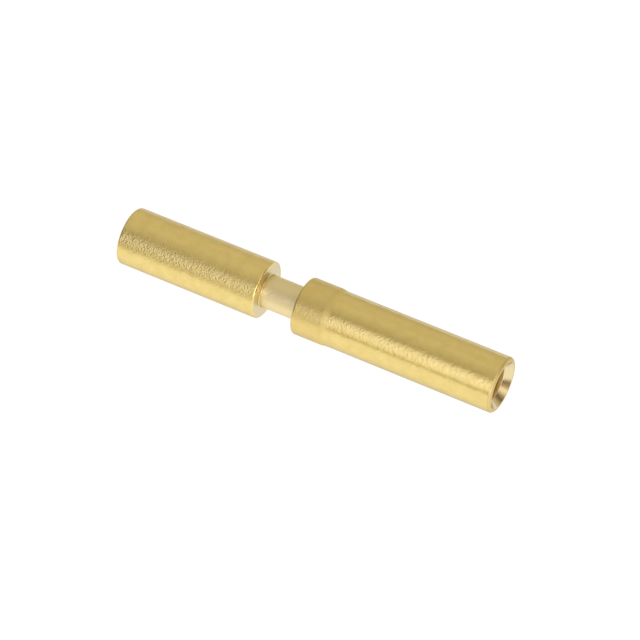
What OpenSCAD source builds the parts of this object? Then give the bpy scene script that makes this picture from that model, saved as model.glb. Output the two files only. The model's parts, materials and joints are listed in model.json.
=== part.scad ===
// Crimp socket contact for a circular connector, size 16 type.
// One turned and gold-plated body with a slotted spring cage held inside its front barrel.
// Lengths are millimetres. The axis lies along +X with the wire mouth at the +X end and +Z up.
// The origin is on the axis, at the locking shoulder where the front barrel meets the neck.

/* [Turned body] */
// Diameter of the bar that the body is turned from, kept by the front barrel and the collar
stock_d = 2.70; // [2.65:0.05:3.2]
// Length of the front barrel, from its front face to the locking shoulder
front_l = 7.05; // [6.5:0.05:9]
// Rounding of the rolled-in front edge
front_round = 0.1; // [0.03:0.01:0.15]
// Rounding of the locking shoulder's edge
shoulder_round = 0.1; // [0.02:0.01:0.15]
// Diameter of the neck that the retaining clip snaps over
neck_d = 1.56; // [1.2:0.02:1.9]
// Length of the neck
neck_l = 1.88; // [1.5:0.02:3]
// Fillet at both ends of the neck
neck_fillet = 0.06; // [0.02:0.01:0.2]
// Length of the collar behind the neck, up to its sloping step
collar_l = 1.43; // [0.8:0.01:2.5]
// Rounding of the collar's front edge
collar_round = 0.1; // [0.03:0.01:0.25]
// Length of the sloping step from the collar down to the crimp barrel
step_l = 0.25; // [0.1:0.05:0.6]

/* [Crimp barrel] */
// Outside diameter of the crimp barrel
crimp_d = 2.62; // [2.56:0.02:2.64]
// Length of the crimp barrel, from the step to the mouth
crimp_l = 8.2; // [7.5:0.05:10]
// Rounding of the mouth's outer edge
mouth_round = 0.15; // [0.05:0.01:0.16]
// Diameter of the bore that takes the stripped wire
wire_d = 1.65; // [1.3:0.05:1.8]
// Depth of the wire bore at full diameter, from the mouth
wire_depth = 6.6; // [5:0.1:7.2]
// Diameter of the mouth's countersink at the end face
lead_in_d = 2.22; // [1.85:0.01:2.24]
// Depth of the mouth's countersink
lead_in_l = 0.34; // [0.1:0.01:0.8]
// Diameter of the inspection hole through the barrel wall
hole_d = 0.8; // [0.5:0.05:1.0]
// Distance from the end of the wire bore to the centre of the inspection hole
hole_inset = 0.7; // [0.55:0.05:1.5]

/* [Socket] */
// Diameter of the pin that the socket mates with
pin_d = 1.57; // [1.5:0.01:1.6]
// Radial clearance of that pin in the entry
entry_clear = 0.07; // [0.04:0.01:0.1]
// Length of the entry's straight wall
entry_l = 0.3; // [0.15:0.05:0.6]
// Width of the entry's lead-in cone, measured on the front face
entry_lead_w = 0.2; // [0.05:0.01:0.24]
// Depth of the entry's lead-in cone
entry_lead_l = 0.25; // [0.1:0.05:0.4]
// How far the front lip reaches in past the wall of the spring chamber
lip_h = 0.27; // [0.2:0.01:0.3]
// Length of the spring chamber behind the lip
chamber_l = 4.7; // [3.5:0.1:5.2]
// Included angle of the drill points that end the spring chamber and the wire bore
drill_angle = 118; // [90:1:140]

/* [Spring cage] */
// Wall of the spring sheet
spring_wall = 0.08; // [0.05:0.01:0.1]
// Radial clearance between the spring's end rings and the chamber
spring_clear = 0.02; // [0.01:0.005:0.03]
// End float of the spring in the chamber, both ends together
spring_float = 0.06; // [0.02:0.01:0.2]
// Straight seat at each end of the spring, which lies along the chamber wall
seat_l = 0.3; // [0.15:0.05:0.4]
// Length of the unslotted ring at each end
ring_l = 0.45; // [0.42:0.01:0.8]
// How far the waist stands inside the pin's radius before mating
grip = 0.06; // [0.03:0.005:0.1]
// Number of slots between the spring's beams
slots = 8; // [6:1:10]
// Width of a slot
slot_w = 0.18; // [0.1:0.01:0.22]
// Width of the seam where the rolled sheet's edges meet
seam_w = 0.08; // [0.04:0.01:0.1]

/* [Hidden] */
$fn = 96;
// Cutting shapes run this far past the faces that they open, and fillets sink this far into the metal
past = 0.2;

stock_r = stock_d / 2;
neck_r = neck_d / 2;
crimp_r = crimp_d / 2;
wire_r = wire_d / 2;
lead_in_r = lead_in_d / 2;
entry_r = pin_d / 2 + entry_clear;
chamber_r = entry_r + lip_h;

// Stations along the axis, from the socket's front face to the wire mouth
front_x = -front_l;
collar_x = neck_l;
step_x = collar_x + collar_l;
crimp_x = step_x + step_l;
mouth_x = crimp_x + crimp_l;
lip_x = front_x + entry_lead_l + entry_l;
chamber_end_x = lip_x + chamber_l;
chamber_tip_x = chamber_end_x + chamber_r / tan(drill_angle / 2);
bore_end_x = mouth_x - wire_depth;
bore_tip_x = bore_end_x - wire_r / tan(drill_angle / 2);

// Spring cage, fitted to the chamber
spring_l = chamber_l - spring_float;
ring_outer_r = chamber_r - spring_clear;
waist_r = pin_d / 2 - grip;
slot_l = spring_l - 2 * ring_l;
// Between its seats the sheet bows inwards by this much, on arcs of this radius
bow = ring_outer_r - spring_wall - waist_r;
bow_l = spring_l - 2 * seat_l;
bow_r = (pow(bow_l / 2, 2) + pow(bow, 2)) / (2 * bow);

// What is left outside a quarter circle, from its centre to past its square corner at [r, r]
module corner(r) {
    difference() {
        square(r + past);
        circle(r);
    }
}

// Half section of a turned length from the axis out to r, with its two outer edges rounded
module turned(from, to, r, round_from, round_to) {
    difference() {
        translate([0, from])
            square([r, to - from]);
        if (round_from > 0)
            translate([r - round_from, from + round_from])
                mirror([0, 1])
                    corner(round_from);
        if (round_to > 0)
            translate([r - round_to, to - round_to])
                corner(round_to);
    }
}

// Half section of the outside, before any bore
module outside_section() {
    turned(front_x, 0, stock_r, front_round, shoulder_round);
    translate([0, -past])
        square([neck_r, neck_l + 2 * past]);
    translate([neck_r + neck_fillet, neck_fillet])
        rotate(180)
            corner(neck_fillet);
    translate([neck_r + neck_fillet, neck_l - neck_fillet])
        mirror([1, 0])
            corner(neck_fillet);
    turned(collar_x, step_x, stock_r, collar_round, 0);
    polygon([[0, step_x], [stock_r, step_x], [crimp_r, crimp_x], [0, crimp_x]]);
    turned(crimp_x, mouth_x, crimp_r, 0, mouth_round);
}

// Half section of the socket: lead-in, entry, spring chamber and drill point
module socket_section() {
    polygon([
        [0, front_x - past],
        [entry_r + entry_lead_w, front_x - past],
        [entry_r + entry_lead_w, front_x],
        [entry_r, front_x + entry_lead_l],
        [entry_r, lip_x],
        [chamber_r, lip_x],
        [chamber_r, chamber_end_x],
        [0, chamber_tip_x]
    ]);
}

// Half section of the wire bore: countersink, bore and drill point
module wire_section() {
    polygon([
        [0, mouth_x + past],
        [lead_in_r, mouth_x + past],
        [lead_in_r, mouth_x],
        [wire_r, mouth_x - lead_in_l],
        [wire_r, bore_end_x],
        [0, bore_tip_x]
    ]);
}

// Lays a shape that was turned about Z along the contact's own axis
module along_axis() {
    rotate([0, 90, 0])
        children();
}

// The turned body in one piece, with the inspection hole on its far side
module contact_body() {
    color([0.84, 0.70, 0.38])
        difference() {
            along_axis()
                rotate_extrude()
                    difference() {
                        outside_section();
                        socket_section();
                        wire_section();
                    }
            translate([bore_end_x + hole_inset, 0, 0])
                rotate([-90, 0, 0])
                    cylinder(h = crimp_r + past, d = hole_d);
        }
}

// Half section of the spring sheet: two straight seats joined by a bow that narrows to the waist
module cage_section() {
    for (end = [0, spring_l - seat_l])
        translate([ring_outer_r - spring_wall, end])
            square([spring_wall, seat_l]);
    difference() {
        intersection() {
            translate([0, seat_l / 2])
                square([ring_outer_r, spring_l - seat_l]);
            translate([waist_r + bow_r, spring_l / 2])
                circle(bow_r);
        }
        translate([waist_r + spring_wall + bow_r, spring_l / 2])
            circle(bow_r);
    }
}

// One slot with round ends, cut outwards from the axis
module slot() {
    end_r = slot_w / 2;
    translate([0, -end_r, ring_l + end_r])
        cube([chamber_r, slot_w, slot_l - slot_w]);
    for (z = [ring_l + end_r, spring_l - ring_l - end_r])
        translate([0, 0, z])
            rotate([0, 90, 0])
                cylinder(h = chamber_r, r = end_r);
}

// The spring cage, slotted, rolled and open along one seam
module contact_spring() {
    color([0.86, 0.74, 0.46])
        translate([lip_x + spring_float / 2, 0, 0])
            along_axis()
                difference() {
                    rotate_extrude()
                        cage_section();
                    for (i = [0 : slots - 1])
                        rotate([0, 0, i * 360 / slots])
                            slot();
                    translate([0, -seam_w / 2, -past])
                        cube([chamber_r, seam_w, spring_l + 2 * past]);
                }
}

contact_body();
contact_spring();
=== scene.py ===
# %% [markdown]
# # A gold-plated crimp socket contact
#
# The real contact is turned from copper-alloy bar in one piece, gold plated, and fitted with a
# slotted spring cage inside its front barrel. The solids are already there, at their real size.
# This lesson gives them their looks: a fine skin over the turned body, a rolled sheet for the
# spring, and plating that catches the light the way a barrel-plated part does.

# %% Load the solids
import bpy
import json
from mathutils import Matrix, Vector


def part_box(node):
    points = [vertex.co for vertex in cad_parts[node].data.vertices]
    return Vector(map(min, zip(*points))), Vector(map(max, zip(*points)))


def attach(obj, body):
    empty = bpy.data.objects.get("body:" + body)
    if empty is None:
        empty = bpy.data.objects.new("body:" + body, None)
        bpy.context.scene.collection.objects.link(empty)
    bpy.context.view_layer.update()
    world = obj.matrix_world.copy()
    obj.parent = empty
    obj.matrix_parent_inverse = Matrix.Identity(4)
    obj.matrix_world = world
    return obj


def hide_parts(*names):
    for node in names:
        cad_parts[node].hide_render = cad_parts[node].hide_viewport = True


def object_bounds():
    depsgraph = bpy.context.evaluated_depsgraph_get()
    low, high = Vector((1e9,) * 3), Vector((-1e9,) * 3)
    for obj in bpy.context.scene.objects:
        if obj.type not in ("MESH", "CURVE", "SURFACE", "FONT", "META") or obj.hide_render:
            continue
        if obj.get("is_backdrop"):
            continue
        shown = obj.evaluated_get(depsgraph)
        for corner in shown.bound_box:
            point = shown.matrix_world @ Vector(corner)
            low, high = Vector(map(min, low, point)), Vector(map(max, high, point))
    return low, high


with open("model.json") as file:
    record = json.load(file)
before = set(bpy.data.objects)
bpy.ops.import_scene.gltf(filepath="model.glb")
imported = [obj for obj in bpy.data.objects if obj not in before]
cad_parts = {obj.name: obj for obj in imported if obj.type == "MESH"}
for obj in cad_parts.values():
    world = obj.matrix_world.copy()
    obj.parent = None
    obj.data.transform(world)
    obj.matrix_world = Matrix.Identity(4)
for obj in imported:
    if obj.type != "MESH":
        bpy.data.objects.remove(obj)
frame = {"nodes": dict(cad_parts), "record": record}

cad_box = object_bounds()
print("solids:", sorted(frame["nodes"]))

# %% [markdown]
# ## Sizes of the outside
#
# Lengths below are written in millimetres and turned into Blender's metres at the last moment.
# What the record or the solids' own boxes know is read from them, so the skin can't drift away
# from the solids. The few sizes that neither of them states are repeated here by name.

# %% Stations along the axis
import math

import bmesh
import bpy
from mathutils import Vector

MM = 0.001
mounts = {mount["name"]: mount["dims"] for mount in frame["record"]["mounts"]}
body_low, body_high = (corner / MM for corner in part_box("contact_body"))
collar_l = 1.43
step_l = 0.25
crimp_r = 1.31

front_x = body_low.x
mouth_x = body_high.x
stock_r = body_high.z
neck_r = mounts["retention_groove"]["r_mm"]
neck_l = mounts["retention_groove"]["length_mm"]
step_x = neck_l + collar_l
crimp_x = step_x + step_l
print(f"front face {front_x:.2f}, collar from {neck_l:.2f} to {step_x:.2f}, mouth {mouth_x:.2f} mm")

# %% [markdown]
# ## Sizes of the two bores
#
# The body is drilled from both ends. The wire bore opens in a countersink, and a small hole across
# it shows whether the wire is fully in. The socket has a lead-in cone, a straight entry for the
# pin, a lip and a wider chamber for the spring. Both bores end in the cone that a drill leaves.

# %% Bores
lead_in_r = 1.11
lead_in_l = 0.34
entry_lead_w = 0.2
entry_lead_l = 0.25
lip_h = 0.27
chamber_l = 4.7
drill_angle = math.radians(118)
hole_r = 0.4
hole_inset = 0.7

wire_r = mounts["wire_bore"]["r_mm"]
bore_end_x = mouth_x - lead_in_l - mounts["wire_bore"]["length_mm"]
hole_x = bore_end_x + hole_inset
entry_r = mounts["socket_entry"]["r_mm"]
lip_x = front_x + entry_lead_l + mounts["socket_entry"]["length_mm"]
chamber_r = entry_r + lip_h
chamber_end_x = lip_x + chamber_l
drill_slope = math.tan(drill_angle / 2)
print(f"wire bore ends at {bore_end_x:.2f}, spring chamber runs {lip_x:.2f} to {chamber_end_x:.2f} mm")

# %% [markdown]
# ## The camera
#
# The view is a close one, from the front right and rather high, with the wire mouth turned a
# little towards the lens. A long lens keeps the two barrels nearly parallel, as in the picture.
# The angles and the distance were fitted to the contact's outline: the ellipse of the mouth gives
# the turn, and the slight narrowing of the far barrel gives the distance.

# %% Place the camera
view_turn = math.radians(28.58)
view_height = math.radians(48.24)
view_distance = 156.15
view_angle = math.radians(10.415)
view_from = Vector((2.46, 0, 0))
aim = Vector((2.794, -0.195, -0.295))
nearest = 10

towards_camera = Vector((
    math.cos(view_height) * math.sin(view_turn),
    -math.cos(view_height) * math.cos(view_turn),
    math.sin(view_height),
))
camera = bpy.data.objects.new("camera", bpy.data.cameras.new("camera"))
camera.data.angle = view_angle
camera.data.clip_start = nearest * MM
camera.location = (view_from + view_distance * towards_camera) * MM
camera.rotation_euler = (aim * MM - camera.location).to_track_quat("-Z", "Y").to_euler()
bpy.context.scene.collection.objects.link(camera)
bpy.context.scene.camera = camera
print("camera at", [round(c / MM, 1) for c in camera.location], "mm, lens", round(camera.data.lens, 1))

# %% [markdown]
# ## Rounded corners
#
# A turned part is one outline spun about its axis. The outline is a chain of corners, each with
# the rounding that the tool or the tumbling barrel left on it. No edge of a plated part is truly
# sharp, and it is the small roundings that draw the bright lines on metal.
#
# Blender could round the edges with a Bevel modifier, but unless its normals are hardened too, the
# flat stretches beside each bevel shade as if they were bent. Here each row of the outline carries
# its exact normal, so that flats stay flat and arcs stay round in the reflections.

# %% One rounded corner
ARC_STEP = math.radians(10)


def left_of(direction):
    """The outward side: the outline runs with the metal on its right."""
    return Vector((-direction.y, direction.x))


def turned_by(vector, angle):
    """A flat vector turned anticlockwise."""
    c = math.cos(angle)
    s = math.sin(angle)
    return Vector((c * vector.x - s * vector.y, s * vector.x + c * vector.y))


def arc_at(before, corner, after, rounding):
    """Points and normals of the arc that rounds one corner."""
    way_in = (corner - before).normalized()
    way_out = (after - corner).normalized()
    turn = math.atan2(way_in.cross(way_out), way_in.dot(way_out))
    start = corner - way_in * rounding * math.tan(abs(turn) / 2)
    side = math.copysign(1, -turn)
    centre = start - left_of(way_in) * rounding * side
    steps = max(2, math.ceil(abs(turn) / ARC_STEP)) if rounding else 0
    normals = [turned_by(left_of(way_in), turn * k / max(steps, 1)) for k in range(steps + 1)]
    return [(centre + n * rounding * side, n) for n in normals]


square_corner = arc_at(Vector((0, 0)), Vector((1, 0)), Vector((1, -1)), stock_r / 10)
print("rows on a square corner's rounding:", len(square_corner))

# %% [markdown]
# ## From corners to rows
#
# Between two arcs the wall is straight and takes a row every half millimetre, which keeps the faces
# from growing long and thin. Beside the inspection hole the rows lie much closer, because the mesh
# round the hole has to meet them.

# %% Rows along a chain of corners
ROW_PITCH = 0.5


def outline(corners, fine_rows):
    """Rows (point, normal) along corners (x, r, rounding). A wall between two corners without
    rounding gets fine_rows rows, for the mesh round a cross hole."""
    points = [Vector(corner[:2]) for corner in corners]
    arcs = [[(points[0], left_of((points[1] - points[0]).normalized()))]]
    for i in range(1, len(points) - 1):
        arcs.append(arc_at(points[i - 1], points[i], points[i + 1], corners[i][2]))
    arcs.append([(points[-1], left_of((points[-1] - points[-2]).normalized()))])
    rows = []
    for i, arc in enumerate(arcs):
        rows += arc
        if i + 1 == len(arcs):
            break
        start, normal = arc[-1]
        end = arcs[i + 1][0][0]
        fine = corners[i][2] == 0 and corners[i + 1][2] == 0
        count = fine_rows if fine else math.ceil((end - start).length / ROW_PITCH)
        rows += [(start.lerp(end, k / count), normal) for k in range(1, count)]
    return rows


straight = outline([(0, stock_r, 0), (neck_l, stock_r, 0)], fine_rows=4)
print("rows on a straight wall:", len(straight))

# %% [markdown]
# ## The contact's outline
#
# The chain starts at the drill point of the spring chamber, comes out through the socket, runs
# along the outside to the wire mouth, and goes back in to the drill point of the wire bore. The
# collar's step is drawn down softly, so its two corners have large roundings. Edges in the bores
# are only broken.

# %% Corners of the contact
EDGE_BREAK = 0.03
FRONT_ROUND = 0.1
SHOULDER_ROUND = 0.1
NECK_FILLET = 0.06
COLLAR_ROUND = 0.1
STEP_BLEND = 0.5
MOUTH_ROUND = 0.15
MOUTH_BREAK = 0.02
HOLE_REACH = 0.62
HOLE_ROWS = 28

corners = [
    (chamber_end_x + chamber_r / drill_slope, 0, 0),
    (chamber_end_x, chamber_r, EDGE_BREAK),
    (lip_x, chamber_r, EDGE_BREAK),
    (lip_x, entry_r, EDGE_BREAK),
    (front_x + entry_lead_l, entry_r, EDGE_BREAK),
    (front_x, entry_r + entry_lead_w, EDGE_BREAK),
    (front_x, stock_r, FRONT_ROUND),
    (0, stock_r, SHOULDER_ROUND),
    (0, neck_r, NECK_FILLET),
    (neck_l, neck_r, NECK_FILLET),
    (neck_l, stock_r, COLLAR_ROUND),
    (step_x, stock_r, STEP_BLEND),
    (crimp_x, crimp_r, STEP_BLEND),
    (hole_x - HOLE_REACH, crimp_r, 0),
    (hole_x + HOLE_REACH, crimp_r, 0),
    (mouth_x, crimp_r, MOUTH_ROUND),
    (mouth_x, lead_in_r, MOUTH_BREAK),
    (mouth_x - lead_in_l, wire_r, EDGE_BREAK),
    (hole_x + HOLE_REACH, wire_r, 0),
    (hole_x - HOLE_REACH, wire_r, 0),
    (bore_end_x, wire_r, EDGE_BREAK),
    (bore_end_x - wire_r / drill_slope, 0, 0),
]
rows = outline(corners, HOLE_ROWS)
print("outline rows:", len(rows))

# %% [markdown]
# ## A mesh that keeps its normals
#
# Blender works out smooth normals by averaging the faces round a corner, which bends the light
# beside every small rounding. The mesh is therefore built together with a list of the normals that
# the outline knows, and they are set as custom normals once the mesh is closed.

# %% The skin
class Skin:
    """A mesh in the making that keeps one exact normal for each of its corners."""

    def __init__(self):
        self.mesh = bmesh.new()
        self.normals = []

    def corner(self, place, normal):
        """Adds one corner, its place in millimetres."""
        self.normals.append(Vector(normal).normalized())
        return self.mesh.verts.new(Vector(place) * MM)

    def strip(self, ring, other):
        """Faces between two rings of corners. A ring of one corner closes the end."""
        for k in range(max(len(ring), len(other))):
            a, b = ring[k % len(ring)], ring[(k + 1) % len(ring)]
            c, d = other[(k + 1) % len(other)], other[k % len(other)]
            yield k, list(dict.fromkeys((a, b, c, d)))

    def close(self, name):
        """Turns the faces outwards and makes the object."""
        bmesh.ops.recalc_face_normals(self.mesh, faces=self.mesh.faces)
        data = bpy.data.meshes.new(name)
        self.mesh.to_mesh(data)
        self.mesh.free()
        data.shade_smooth()
        data.normals_split_custom_set_from_vertices(self.normals)
        piece = bpy.data.objects.new(name, data)
        bpy.context.scene.collection.objects.link(piece)
        return piece


skin = Skin()
print("skin started, corners so far:", len(skin.normals))

# %% [markdown]
# ## Spinning the outline
#
# Blender's Spin tool or Screw modifier would do for a plain part. This one has an inspection hole
# drilled through the wall of the crimp barrel, so it is spun by hand: every row becomes a ring of
# corners, and a row on the axis becomes a single one.

# %% Spin the rows into rings
SEGMENTS = 192
ON_AXIS = 1e-6


def spun_row(point, normal):
    """One row of the outline, spun. Column 0 faces +Y, where the inspection hole is."""
    if point.y < ON_AXIS:
        return [skin.corner((point.x, 0, 0), (math.copysign(1, normal.x), 0, 0))]
    ring = []
    for j in range(SEGMENTS):
        y = math.cos(2 * math.pi * j / SEGMENTS)
        z = math.sin(2 * math.pi * j / SEGMENTS)
        place = (point.x, point.y * y, point.y * z)
        ring.append(skin.corner(place, (normal.x, normal.y * y, normal.y * z)))
    return ring


grid = [spun_row(point, normal) for point, normal in rows]
print("corners after the spin:", len(skin.normals))

# %% [markdown]
# ## Room for the inspection hole
#
# A Boolean would cut the hole, but leaves long thin faces round its rim. Instead, a block of the
# grid is left open on the outside and another in the bore, each wide enough to hold the hole and
# a ring of orderly faces round it.

# %% Join the rings, and leave two blocks open
HOLE_COLUMNS = 20
SAME_PLACE = 1e-4


def block_rows(wall_r):
    """The rows of one wall that run past the inspection hole, from low x to high x."""
    near = [
        i for i, (point, _) in enumerate(rows)
        if abs(point.y - wall_r) < SAME_PLACE and abs(point.x - hole_x) < HOLE_REACH + SAME_PLACE
    ]
    return sorted(near, key=lambda i: rows[i][0].x)


outer_block = block_rows(crimp_r)
inner_block = block_rows(wire_r)
left_out = {j % SEGMENTS for j in range(-HOLE_COLUMNS, HOLE_COLUMNS)}
for i in range(len(rows) - 1):
    in_block = any(i in block and i + 1 in block for block in (outer_block, inner_block))
    for j, corners_of_face in skin.strip(grid[i], grid[i + 1]):
        if not (in_block and j in left_out):
            skin.mesh.faces.new(corners_of_face)
print("grid faces:", len(skin.mesh.faces), "hole rows:", len(outer_block), len(inner_block))

# %% [markdown]
# ## Rings through the inspection hole
#
# Drilling leaves a burr that the tumbling rounds off, so both rims of the hole are rounded. Rings
# of corners lead from the edge of the outer block over the rim, down the hole, over the inner rim
# and out to the edge of the inner block. Every ring has the same number of corners, so the faces
# between them are all four-sided.

# %% Helpers for the rings
RIM_ROUND = 0.04


def block_edge(block):
    """The corners round a block of the grid, in order."""
    c = HOLE_COLUMNS
    edge = [grid[block[0]][j] for j in range(-c, c)]
    edge += [grid[i][c] for i in block[:-1]]
    edge += [grid[block[-1]][j] for j in range(c, -c, -1)]
    edge += [grid[i][-c] for i in reversed(block[1:])]
    return edge


def rim_ring(angles, wall_r, outwards, tilt):
    """A ring on the rounded rim, from tilt 0 on the wall to a quarter turn inside the hole."""
    reach = hole_r + RIM_ROUND * (1 - math.sin(tilt))
    sunk = RIM_ROUND * (1 - math.cos(tilt))
    ring = []
    for angle in angles:
        x = reach * math.cos(angle)
        z = reach * math.sin(angle)
        y = math.sqrt(wall_r ** 2 - z ** 2)
        radial = Vector((0, y, z)) / wall_r * outwards * math.cos(tilt)
        inwards = Vector((-math.cos(angle), 0, -math.sin(angle))) * math.sin(tilt)
        ring.append(skin.corner((hole_x + x, y - outwards * sunk, z), radial + inwards))
    return ring


def wall_rings(edge, rim, wall_r, outwards):
    """Two rings on a wall, between the edge of its block and the rim of the hole."""
    rings = []
    for share in (1 / 3, 2 / 3):
        ring = []
        for start, end in zip(edge, rim):
            place = start.co.lerp(end.co, share) / MM
            y = math.sqrt(wall_r ** 2 - place.z ** 2)
            ring.append(skin.corner((place.x, y, place.z), Vector((0, y, place.z)) * outwards))
        rings.append(ring)
    return rings


outer_edge = block_edge(outer_block)
inner_edge = block_edge(inner_block)
print("corners round the open blocks:", len(outer_edge), len(inner_edge))

# %% [markdown]
# ## Closing the body
#
# With both rims in place the rings are joined in one pass, and the body is closed. An edge with a
# face on one side only would be a hole in the skin, so those are counted.

# %% Lead the faces through the hole
rim_angles = [
    math.atan2(a.co.z + b.co.z, a.co.x + b.co.x - 2 * hole_x * MM)
    for a, b in zip(outer_edge, inner_edge)
]
tilts = [math.radians(t) for t in (0, 30, 60, 90)]
outer_rim = [rim_ring(rim_angles, crimp_r, 1, tilt) for tilt in tilts]
inner_rim = [rim_ring(rim_angles, wire_r, -1, tilt) for tilt in reversed(tilts)]
through = [outer_edge] + wall_rings(outer_edge, outer_rim[0], crimp_r, 1) + outer_rim
through += inner_rim + wall_rings(inner_edge, inner_rim[-1], wire_r, -1)[::-1] + [inner_edge]
for ring, following in zip(through, through[1:]):
    for _, corners_of_face in skin.strip(ring, following):
        skin.mesh.faces.new(corners_of_face)
open_edges = sum(edge.is_boundary for edge in skin.mesh.edges)
turned_body = skin.close("turned_body")
print("turned body faces:", len(turned_body.data.polygons), "open edges:", open_edges)

# %% [markdown]
# ## The spring cage
#
# Inside the front barrel sits a thin spring sheet, slotted in the flat, rolled into a tube and
# bowed inwards so that its beams grip the pin. Its length and its outer diameter are read from the
# solid. The bow is an arc between two straight seats, and the slots have round ends.

# %% Shape of the sheet
spring_wall = 0.08
seat_l = 0.3
ring_l = 0.45
waist_r = 0.725
slots = 8
slot_r = 0.09
seam_half = 0.04

spring_low, spring_high = (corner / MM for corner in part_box("contact_spring"))
spring_mid = (spring_low.x + spring_high.x) / 2
spring_half = (spring_high.x - spring_low.x) / 2
seat_r = spring_high.y - spring_wall
bow = seat_r - waist_r
bow_r = ((spring_half - seat_l) ** 2 + bow ** 2) / (2 * bow)


def sheet_r(x):
    """Inside radius of the sheet at a station measured from its middle."""
    if abs(x) > spring_half - seat_l:
        return seat_r
    return waist_r + bow_r - math.sqrt(bow_r ** 2 - x ** 2)


def half_gap(x, slot):
    """Half the width of a slot at a station. The first slot also holds the seam."""
    into_round = abs(x) - (spring_half - ring_l - slot_r)
    width = slot_r
    if into_round > 0:
        width = math.sqrt(max(slot_r ** 2 - into_round ** 2, 0))
    return max(width, seam_half) if slot % slots == 0 else width


print(f"spring {2 * spring_half:.2f} mm long, bowed in by {bow:.3f} mm")

# %% [markdown]
# ## Stations along the sheet
#
# The sheet needs rows where its shape changes: evenly along the bow, closely over the round end of
# the slots, and a few on the end rings. One half is listed and mirrored.

# %% List the stations
BOW_STEPS = 24
BOW_ROWS = 22
ROUND_STEPS = 8
RING_STEPS = 6

slot_end = spring_half - ring_l
half_stations = [slot_end * k / BOW_STEPS for k in range(BOW_ROWS)]
half_stations += [
    slot_end - slot_r + slot_r * math.sin(math.pi / 2 * k / ROUND_STEPS) for k in range(ROUND_STEPS + 1)
]
half_stations += [slot_end + ring_l * k / RING_STEPS for k in range(1, RING_STEPS + 1)]
half_stations = sorted(set(half_stations))
stations = [-x for x in reversed(half_stations[1:])] + half_stations
print("stations along the spring:", len(stations))

# %% [markdown]
# ## Rolling the sheet
#
# Rolling is easy to copy: each beam is a small grid whose two long edges follow the slots, and its
# rows are bent to the bow. Where the slots end, the neighbouring grids share their edge points, and
# welding those makes the unslotted end rings.

# %% Roll the beams and weld the rings
BEAM_COLUMNS = 10
WELD = 1e-4


def sheet_point(x, beam, share):
    """A point of one beam's grid, rolled to its place. The seam lies at the bottom."""
    r = sheet_r(x)
    pitch = 2 * math.pi / slots
    start = beam * pitch + math.asin(half_gap(x, beam) / r)
    end = (beam + 1) * pitch - math.asin(half_gap(x, beam + 1) / r)
    angle = start + (end - start) * share - math.pi / 2
    return Vector((spring_mid + x, r * math.cos(angle), r * math.sin(angle))) * MM


sheet = bmesh.new()
for beam in range(slots):
    beam_rows = [
        [sheet.verts.new(sheet_point(x, beam, k / BEAM_COLUMNS)) for k in range(BEAM_COLUMNS + 1)]
        for x in stations
    ]
    for row, following in zip(beam_rows, beam_rows[1:]):
        for k in range(BEAM_COLUMNS):
            sheet.faces.new((row[k], row[k + 1], following[k + 1], following[k]))
bmesh.ops.remove_doubles(sheet, verts=sheet.verts, dist=WELD * MM)
print("faces of the rolled sheet:", len(sheet.faces))

# %% [markdown]
# ## Giving the sheet its wall
#
# A Solidify modifier would thicken the sheet along its own normals. The solid's wall is measured
# straight out from the axis instead, so the whole sheet is extruded and the copy moved outwards by
# that wall. The punched edges of the slots stay sharp.

# %% Thicken the sheet
SHARP_ANGLE = math.radians(40)

made = bmesh.ops.extrude_face_region(sheet, geom=sheet.faces[:], use_keep_orig=True)
for vertex in [g for g in made["geom"] if isinstance(g, bmesh.types.BMVert)]:
    radial = Vector((0, vertex.co.y, vertex.co.z)).normalized()
    vertex.co += radial * spring_wall * MM
bmesh.ops.recalc_face_normals(sheet, faces=sheet.faces)
cage_data = bpy.data.meshes.new("spring_cage")
sheet.to_mesh(cage_data)
sheet.free()
cage_data.shade_smooth()
cage_data.set_sharp_from_angle(angle=SHARP_ANGLE)
spring_cage = bpy.data.objects.new("spring_cage", cage_data)
bpy.context.scene.collection.objects.link(spring_cage)
print("spring cage faces:", len(cage_data.polygons))

# %% [markdown]
# ## Shader arithmetic
#
# A finish is mostly arithmetic on masks: this much rougher here, a little paler there. Wiring Math
# nodes by hand hides that, so a small class lets a socket stand in a Python expression. Each
# operator adds one Math node, and every other node comes from one method.

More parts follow.
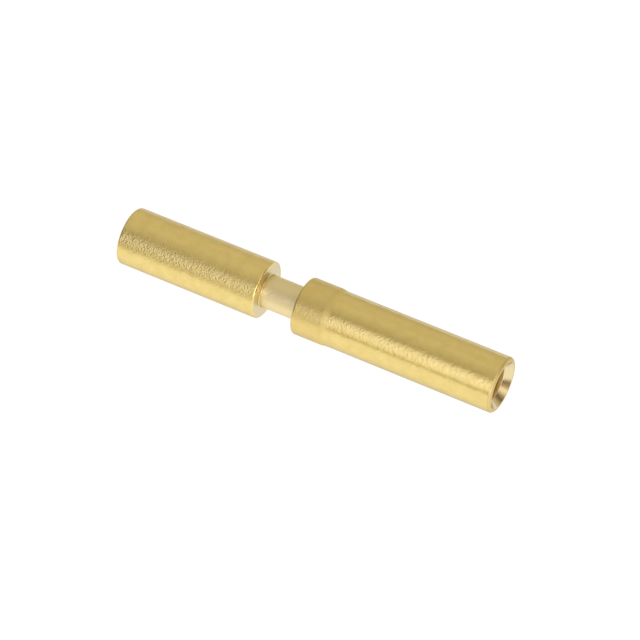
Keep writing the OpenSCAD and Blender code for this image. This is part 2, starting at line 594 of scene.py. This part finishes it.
# %% A socket that takes part in expressions
class Socket:
    """A shader socket in Python arithmetic."""

    def __init__(self, tree, link):
        self.tree = tree
        self.link = link

    @classmethod
    def node(cls, tree, kind, settings=None, inputs=None, output=0):
        """Adds a node: its settings first, then the values or links of its sockets."""
        made = tree.nodes.new(kind)
        for name, value in (settings or {}).items():
            if name == "stops":
                cls.place_stops(made.color_ramp, value)
            else:
                setattr(made, name, value)
        for name, value in (inputs or {}).items():
            if isinstance(value, cls):
                tree.links.new(value.link, made.inputs[name])
            else:
                made.inputs[name].default_value = value
        return None if output is None else cls(tree, made.outputs[output])

    @staticmethod
    def place_stops(ramp, stops):
        """Sets the stops of a colour ramp, each a position and a colour."""
        while len(ramp.elements) < len(stops):
            ramp.elements.new(1)
        for element, (position, colour) in zip(ramp.elements, stops):
            element.position = position
            element.color = (*colour, 1)

    def math(self, operation, first, second=0.0):
        """One Math node."""
        return Socket.node(self.tree, "ShaderNodeMath", {"operation": operation}, {0: first, 1: second})

    def __add__(self, other):
        return self.math("ADD", self, other)

    def __sub__(self, other):
        return self.math("SUBTRACT", self, other)

    def __rsub__(self, other):
        return self.math("SUBTRACT", other, self)

    def __mul__(self, other):
        return self.math("MULTIPLY", self, other)

    def __pow__(self, other):
        return self.math("POWER", self, other)

    def __abs__(self):
        return self.math("ABSOLUTE", self)

    __radd__ = __add__
    __rmul__ = __mul__

    def step(self, low, high):
        """A soft step from 0 at low to 1 at high."""
        return Socket.node(
            self.tree, "ShaderNodeMapRange", {"interpolation_type": "SMOOTHSTEP"},
            {"Value": self, "From Min": low, "From Max": high},
        )

    def within(self, rise, fall):
        """1 between two soft borders, and 0 outside them."""
        return self.step(*rise) * (1 - self.step(*fall))

    def blend(self, first, second):
        """Two colours mixed by this value."""
        return Socket.node(
            self.tree, "ShaderNodeMix", {"data_type": "RGBA"}, {0: self, 6: first, 7: second}, output=2
        )

    def parts(self):
        """The three parts of a vector."""
        first = Socket.node(self.tree, "ShaderNodeSeparateXYZ", {}, {0: self})
        return [Socket(self.tree, link) for link in first.link.node.outputs]


print("reflected operators:", sorted(name for name in vars(Socket) if name.startswith("__r")))

# %% [markdown]
# ## Light round the axis
#
# Plated metal has little colour of its own to show: it shows the room. A turned barrel mirrors
# whatever stands round its axis, so each part of the room is written as brightness by the angle
# about that axis, in degrees from the front horizon over the top to the back. Lamps and cards could
# do the same, but a few stops of light are easier to tune.
#
# Soft grey silk hangs overhead and behind, and one tall panel stands in the dark front. The wall at
# the right end is what the countersunk mouth mirrors: bright overhead, dark low in front and
# halfway down behind, and at about half strength on the back horizon.

# %% Brightness by angle
silk_stops = [
    (55, (0, 0, 0)),
    (68, (0.57, 0.53, 0.44)),
    (82, (0.62, 0.59, 0.51)),
    (104, (0.70, 0.67, 0.58)),
    (126, (0.66, 0.62, 0.50)),
    (146, (0.70, 0.66, 0.58)),
    (162, (0.64, 0.60, 0.50)),
    (178, (0.62, 0.58, 0.48)),
]
panel_stops = [
    (0, (0.44, 0.40, 0.25)),
    (8, (1.11, 1.09, 0.99)),
    (22, (1.28, 1.28, 1.47)),
    (36, (1.26, 1.26, 1.46)),
    (46, (1.09, 1.08, 1.17)),
    (54, (0.77, 0.74, 0.70)),
    (65, (0, 0, 0)),
]
right_stops = [
    (0, (0.12, 0.08, 0.04)),
    (25, (0.15, 0.10, 0.05)),
    (52, (0.52, 0.42, 0.28)),
    (78, (1.22, 1.15, 1.02)),
    (92, (1.15, 1.08, 0.95)),
    (111, (0.68, 0.58, 0.44)),
    (135, (0.09, 0.07, 0.04)),
    (150, (0.22, 0.17, 0.10)),
    (165, (0.55, 0.46, 0.33)),
    (180, (0.60, 0.54, 0.44)),
]


def around_axis(half_turns, stops):
    """Light by the angle about the axis, which is counted in half turns."""
    scaled = [(degrees / 180, colour) for degrees, colour in stops]
    return Socket.node(half_turns.tree, "ShaderNodeValToRGB", {"stops": scaled}, {0: half_turns})


print("stops of the silk, the panel and the right wall:", *map(len, (silk_stops, panel_stops, right_stops)))

# %% [markdown]
# ## The room
#
# Where each part begins and ends along the axis is a soft mask on the direction's own part along
# it. The panel is narrower than it is tall. A satin surface that spreads its mirror image therefore
# mixes the panel with the dark beside it, and a smoother one shows the panel at full strength: that
# is why the two barrels differ most in their middle band. A second, brighter strip stands further
# to the right, and draws the streak on the shoulder's rounded edge. The left end is closed by a
# weak, even wall, so that a view along the barrels doesn't find them black.

# %% Hang the lights
panel_from = (-0.425, -0.355)
panel_to = (0.15, 0.25)
strip_from = (0.42, 0.5)
strip_to = (0.68, 0.76)
strip_strength = 3.4
right_wall_from = (0.45, 0.7)
left_wall_to = (-0.88, -0.48)
left_wall_silk = 0.1
left_glow = (0.28, 0.25, 0.19, 1)


def lit(colour, strength):
    """Light of one colour, as strong as the mask says."""
    return Socket.node(strength.tree, "ShaderNodeBackground", {}, {"Color": colour, "Strength": strength})


world = bpy.data.worlds.new("room")
world.use_nodes = True
bpy.context.scene.world = world
tree = world.node_tree
tree.nodes.clear()
along, across, up = Socket.node(tree, "ShaderNodeTexCoord", output="Generated").parts()
half_turns = up.math("ARCTAN2", up, across * -1) * (1 / math.pi)
right_end = along.step(*right_wall_from)
left_end = 1 - along.step(*left_wall_to)
silk_mask = (1 - right_end) * (1 - (1 - left_wall_silk) * left_end)
panel_mask = along.within(panel_from, panel_to) + along.within(strip_from, strip_to) * strip_strength

room = lit(around_axis(half_turns, silk_stops), silk_mask)
for part in (
    lit(around_axis(half_turns, panel_stops), panel_mask),
    lit(around_axis(half_turns, right_stops), right_end),
    lit(left_glow, left_end),
):
    room = Socket.node(tree, "ShaderNodeAddShader", {}, {0: room, 1: part})
Socket.node(tree, "ShaderNodeOutputWorld", {}, {"Surface": room}, output=None)
bpy.context.scene.view_settings.view_transform = "Standard"
print("nodes of the room:", len(tree.nodes))

# %% [markdown]
# ## The floor
#
# The contact lies on white paper. A plane would do, but a wide disc puts its rim at the same
# distance all round, far outside any view.

# %% Lay the paper
PAPER_R = 1000
PAPER_SIDES = 96

paper_data = bpy.data.meshes.new("paper")
disc = bmesh.new()
bmesh.ops.create_circle(disc, cap_ends=True, segments=PAPER_SIDES, radius=PAPER_R * MM)
disc.to_mesh(paper_data)
disc.free()
paper = bpy.data.objects.new("paper", paper_data)
paper.location.z = body_low.z * MM
bpy.context.scene.collection.objects.link(paper)
paper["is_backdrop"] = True
print("paper lies at", round(paper.location.z / MM, 3), "mm")

# %% [markdown]
# ## Glowing paper
#
# The paper's light is painted: a grey sheet glows, so strongly that it burns out in the picture. Its
# glow from below draws the bright yellow band along the underside of both barrels. Only the part
# that the camera sees glows so, a painted pool of light: further off it is dimmer, and the barrels
# mirror that as the darker line between their middle band and their underside. Lamps could do this,
# but a glow that fades across the paper puts the edge of the light exactly where it is wanted.

# %% Light the paper
bright_glow = (1, 1, 1, 1)
dim_glow = (0.55, 0.52, 0.45, 1)
paper_grey = (0.2, 0.2, 0.2, 1)
paper_roughness = 0.9
glow_strength = 0.92
near_edge = (-30, -19.5)
far_edge = (22.5, 29)
side_edge = (16, 19.5)
lit_middle = 2.16


def new_finish(name):
    """An empty material of its own."""
    finish = bpy.data.materials.new(name)
    finish.use_nodes = True
    finish.node_tree.nodes.clear()
    return finish


def coat(piece, finish, inputs):
    """Ends a material in one shader and puts it on a piece."""
    shader = Socket.node(finish.node_tree, "ShaderNodeBsdfPrincipled", {}, inputs)
    Socket.node(finish.node_tree, "ShaderNodeOutputMaterial", {}, {"Surface": shader}, output=None)
    piece.data.materials.append(finish)
    print(finish.name, "nodes:", len(finish.node_tree.nodes))


def along_floor(spot, direction):
    """Distance over the floor in one direction, in millimetres."""
    return Socket.node(
        spot.tree, "ShaderNodeVectorMath", {"operation": "DOT_PRODUCT"},
        {0: spot, 1: direction / MM}, output="Value",
    )


glowing_paper = new_finish("paper")
spot = Socket.node(glowing_paper.node_tree, "ShaderNodeTexCoord", output="Object")
depth = along_floor(spot, Vector((-math.sin(view_turn), math.cos(view_turn), 0)))
width = along_floor(spot, Vector((math.cos(view_turn), math.sin(view_turn), 0)))
# Painted light: the paper glows brightly in a pool round the contact and dimmer further off.
glow_pool = depth.within(near_edge, far_edge) * (1 - abs(width - lit_middle).step(*side_edge))
coat(paper, glowing_paper, {
    "Base Color": paper_grey,
    "Roughness": paper_roughness,
    "Specular IOR Level": 0.0,
    "Emission Color": glow_pool.blend(dim_glow, bright_glow),
    "Emission Strength": glow_strength,
})

# %% [markdown]
# ## Gold plate
#
# Contacts are plated loose, tumbling in a barrel. The gold follows every scratch of the bar and
# every ring that the turning tool left, and the tumbling adds a fine satin. The picture shows the
# difference plainly: the front barrel and the collar keep the satin of the drawn bar, the crimp
# barrel is turned and shines more, and the neck, cut by a forming tool, is the palest and dullest.
#
# A turned part needs no unwrapping: the place along the axis, the distance from it and the lean of
# the face tell the regions apart.

# %% Coordinates of a turned part
def place_on(tree):
    """Place on a piece, in millimetres."""
    position = Socket.node(tree, "ShaderNodeTexCoord", output="Object")
    return Socket.node(
        tree, "ShaderNodeVectorMath", {"operation": "SCALE"}, {0: position, "Scale": 1 / MM}
    )


def noise(place, scale, detail=2.0):
    """Fractal noise, its scale per millimetre."""
    return Socket.node(
        place.tree, "ShaderNodeTexNoise", {}, {"Vector": place, "Scale": scale, "Detail": detail}
    )


gold_plate = new_finish("gold_plate")
tree = gold_plate.node_tree
place = place_on(tree)
x, y, z = place.parts()
radius = (y * y + z * z) ** 0.5
lean = abs(Socket.node(tree, "ShaderNodeTexCoord", output="Normal").parts()[0])
print("coordinate nodes:", len(tree.nodes))

# %% [markdown]
# ## Regions of the outside
#
# A mask is 1 where a region is and 0 elsewhere, with soft borders. The lean is 0 on a barrel's wall
# and 1 on a face square to the axis, and the roundings lie in between. The shoulder's mask takes in
# both flat faces beside the neck. The start of the neck is a region of its own: the shoulder keeps
# the tumbling stones away from that corner, so it stays smoother, and its colour there is darkened
# with painted shade.

# %% Masks of the outside
flat_lean = (0.9, 0.99)
round_lean = (0.15, 0.3)
border = 0.05
off_neck = (neck_r + 0.02, neck_r + 0.1)
above_neck = (neck_r + 0.1, neck_r + 0.2)
corner_end = (0.04, 0.14)
collar_lead = 0.1
slope_lead = 0.08
slope_trail = 0.12

flat = lean.step(*flat_lean)
shoulder = flat * x.within((lip_x, lip_x + 1), (neck_l, step_x))
rounding = lean.step(*round_lean) * (1 - flat) * radius.step(*above_neck)
rounding = rounding * (1 - x.step(step_x, crimp_x))
neck = x.within((0, border), (neck_l - border, neck_l)) * (1 - radius.step(*off_neck))
neck_corner = 1 - x.step(*corner_end)
tube = x.step(step_x + border, crimp_x)
collar = x.step(neck_l - collar_lead, neck_l) * (1 - tube)
slope = x.within((step_x - slope_lead, step_x), (crimp_x, crimp_x + slope_trail))
print("nodes with the outside's masks:", len(tree.nodes))

# %% [markdown]
# ## Regions of the mouth
#
# The mouth has three: the rounded rim, the countersink and the start of the wire bore. On the rim's
# first stretch, where it leaves the barrel, the colour is darkened: painted shade that holds back
# the highlight of the bright strip there. The bore is rough all along, and its first tenth of a
# millimetre, where the countersink tool ran out, is rougher still, so it takes up light from the
# mouth instead of mirroring the dark inside.

# %% Masks of the mouth
sink_x = mouth_x - lead_in_l
sink_lean = (lead_in_r - wire_r) / math.hypot(lead_in_r - wire_r, lead_in_l)
rim_lean = (0.03, 0.12)
rim_border = 0.01
rim_shade_from = (0.05, 0.15)
rim_shade_to = (0.5, 0.75)
cone_lean = (0.3, 0.4)
cone_border = 0.02
bore_wall = (wire_r + 0.01, wire_r + 0.03)
run_out_wall = (wire_r + 0.03, wire_r + 0.06)
run_out_from = (sink_x - 0.14, sink_x - 0.06)

mouth_rim = lean.step(*rim_lean) * x.step(crimp_x + 1, mouth_x - 1)
mouth_rim = mouth_rim * radius.step(lead_in_r - rim_border, lead_in_r)
# The rim's first stretch, where it leaves the barrel, which is darkened with painted shade.
rim_shade_mask = lean.within(rim_shade_from, rim_shade_to)
countersink = lean.step(*cone_lean) * x.step(sink_x - cone_border, sink_x)
countersink = countersink * (1 - radius.step(lead_in_r - cone_border, lead_in_r))
bore = (1 - radius.step(*bore_wall)) * x.step(step_x, crimp_x)
run_out = (1 - radius.step(*run_out_wall)) * (1 - lean * (1 / sink_lean))
run_out = run_out * x.step(*run_out_from)
print("nodes with the mouth's masks:", len(tree.nodes))

# %% [markdown]
# ## Grain
#
# The bar's drawn surface shows as a fine hammered grain, about a twelfth of a millimetre across,
# over a coarser one of twice that. Turning has taken about half of the fine grain off the crimp
# barrel and left more of the coarse one, and the countersink is the smoothest. The grain is a bump
# of a few thousandths of a millimetre: too shallow for the mesh, but enough to break up the mirror
# image of the panel. Its middle is taken off first, so no step shows where it is weakened.

# %% Height of the grain
fine_scale = 12.0
coarse_scale = 6.0
grain_detail = 0.5
grain_middle = 0.8
grain_depth = 0.006
bar_fine = 1.3
fine_loss = 0.6
bar_coarse = 0.5
coarse_gain = 0.4
countersink_loss = 0.7

grain = noise(place, fine_scale, grain_detail) * (bar_fine - tube * fine_loss)
grain = grain + noise(place, coarse_scale, grain_detail) * (bar_coarse + tube * coarse_gain)
grain = (grain - grain_middle) * (1 - countersink * countersink_loss)
bump = Socket.node(
    tree, "ShaderNodeBump", {}, {"Strength": 1.0, "Distance": grain_depth * MM, "Height": grain}
)
print("grain depth:", grain_depth, "mm")

# %% [markdown]
# ## Roughness
#
# Each region adds to or takes from the satin of the bar. Tumbling rubs hardest on the rounded
# edges, so those are brighter: the shoulder's edge most, the collar's less. A slow mottle keeps
# the satin from being even.

# %% Roughness by region
bar_satin = 0.31
turned_polish = 0.085
collar_satin = 0.05
slope_satin = 0.14
neck_satin = 0.16
shoulder_satin = 0.3
bore_satin = 0.2
run_out_satin = 0.4
rim_satin = 0.28
mottle_scale = 1.6
mottle_reach = 0.05
shoulder_rub = 0.65
collar_rub = 0.2
rub_change = (0.5, 1.0)

mottle = noise(place, mottle_scale) - 0.5
rub = shoulder_rub - x.step(*rub_change) * (shoulder_rub - collar_rub)
roughness = bar_satin - tube * turned_polish + collar * collar_satin + slope * slope_satin
roughness = roughness + neck * neck_satin * (1 - neck_corner)
roughness = roughness * (1 - shoulder) + shoulder * shoulder_satin + mottle * mottle_reach
roughness = roughness * (1 - rounding * rub)
roughness = roughness + bore * bore_satin + run_out * run_out_satin + mouth_rim * rim_satin
print("roughness of the bar and of the crimp barrel:", bar_satin, round(bar_satin - turned_polish, 3))

# %% [markdown]
# ## Colour
#
# Thin gold isn't one yellow. It wanders slowly between a deeper and a lighter tone, and every cut
# face has its own: the neck and the shoulder are pale, the collar and the crimp barrel a little
# deeper, and the mouth's rim, its countersink and the start of its bore each differ. Two darker
# patches are painted shade: the start of the neck beside the shoulder, and the rim's first stretch
# at the mouth.

# %% Colour by region
gold_low = (0.84, 0.65, 0.245, 1)
gold_high = (0.90, 0.71, 0.275, 1)
collar_gold = (0.75, 0.565, 0.20, 1)
neck_gold = (0.91, 0.76, 0.42, 1)
painted_corner_shade = (0.72, 0.59, 0.28, 1)
shoulder_gold = (0.86, 0.74, 0.42, 1)
countersink_gold = (0.82, 0.69, 0.40, 1)
run_out_gold = (0.88, 0.66, 0.29, 1)
rim_gold = (0.80, 0.63, 0.26, 1)
painted_rim_shade = (0.77, 0.605, 0.247, 1)
collar_share = 0.42
tube_share = 0.2
tone_scale = 2.2
tone_detail = 1.0
tone_spread = (0.25, 0.75)

tone = noise(place, tone_scale, tone_detail).step(*tone_spread)
colour = tone.blend(gold_low, gold_high)
colour = (collar * collar_share + tube * tube_share).blend(colour, collar_gold)
# The start of the neck takes painted shade: a darker gold in the corner by the shoulder.
colour = neck.blend(colour, neck_corner.blend(neck_gold, painted_corner_shade))
colour = shoulder.blend(colour, shoulder_gold)
colour = run_out.blend(colour, run_out_gold)
colour = countersink.blend(colour, countersink_gold)
# The darker gold on the rim's first stretch is painted shade that holds back a highlight.
colour = mouth_rim.blend(colour, rim_shade_mask.blend(rim_gold, painted_rim_shade))
print("nodes with the colour:", len(tree.nodes))

# %% [markdown]
# ## The plate itself
#
# All of it is metal. A bare metal shader turns white and bright at grazing angles, more than a
# worn satin plate does, so its tint there is held back, and least in blue.

# %% Plate the turned body
edge_tint = (0.60, 0.62, 0.75, 1)

coat(turned_body, gold_plate, {
    "Metallic": 1.0,
    "Base Color": colour,
    "Roughness": roughness,
    "Normal": bump,
    "Specular Tint": edge_tint,
})

# %% [markdown]
# ## Plate of the spring
#
# The spring is stamped from rolled sheet, which is smoother than drawn bar. It gets the pale gold
# of the neck, a finer and shallower grain and less satin, so its beams glint inside the dark barrel.

# %% Plate the spring cage
sheet_grain_scale = 15.0
sheet_grain_depth = 0.002
sheet_satin = 0.24
sheet_mottle_scale = 2.0
sheet_mottle = 0.08

spring_plate = new_finish("spring_plate")
tree = spring_plate.node_tree
place = place_on(tree)
bump = Socket.node(
    tree, "ShaderNodeBump", {},
    {"Strength": 1.0, "Distance": sheet_grain_depth * MM, "Height": noise(place, sheet_grain_scale)},
)
coat(spring_cage, spring_plate, {
    "Metallic": 1.0,
    "Base Color": neck_gold,
    "Roughness": sheet_satin + noise(place, sheet_mottle_scale) * sheet_mottle,
    "Normal": bump,
})

# %% [markdown]
# ## Into the frame
#
# Both skins stand for a solid of the frame and ride on its one body, and the solids they stand for
# are hidden. The largest distance from a solid's corner to its skin shows that the form is kept.

# %% Hand the pieces to the frame
from mathutils.bvhtree import BVHTree

for piece, node, slot in (
    (turned_body, "contact_body", "gold_plate"),
    (spring_cage, "contact_spring", "spring_plate"),
):
    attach(piece, "root")
    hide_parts(node)
    nearest_face = BVHTree.FromPolygons(
        [v.co for v in piece.data.vertices], [p.vertices for p in piece.data.polygons]
    )
    solid = bpy.data.objects[node]
    gaps = [nearest_face.find_nearest(v.co)[3] for v in solid.data.vertices]
    print(node, "largest distance to its skin:", round(max(gaps) / MM, 4), "mm")

# %% [markdown]
# ## Sizes to compare
#
# The skin must not change the contact's size. The box of the solids and the box of the finished
# pieces are printed side by side, so the two can be compared. The solids are drawn in coarser
# facets than the skin, so in one direction their box falls a few thousandths of a millimetre short
# of the true diameter.

# %% Print the sizes
import json

for name, (low, high) in (("solids", cad_box), ("pieces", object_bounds())):
    print("size of the", name, [round(side / MM, 3) for side in high - low], "mm")
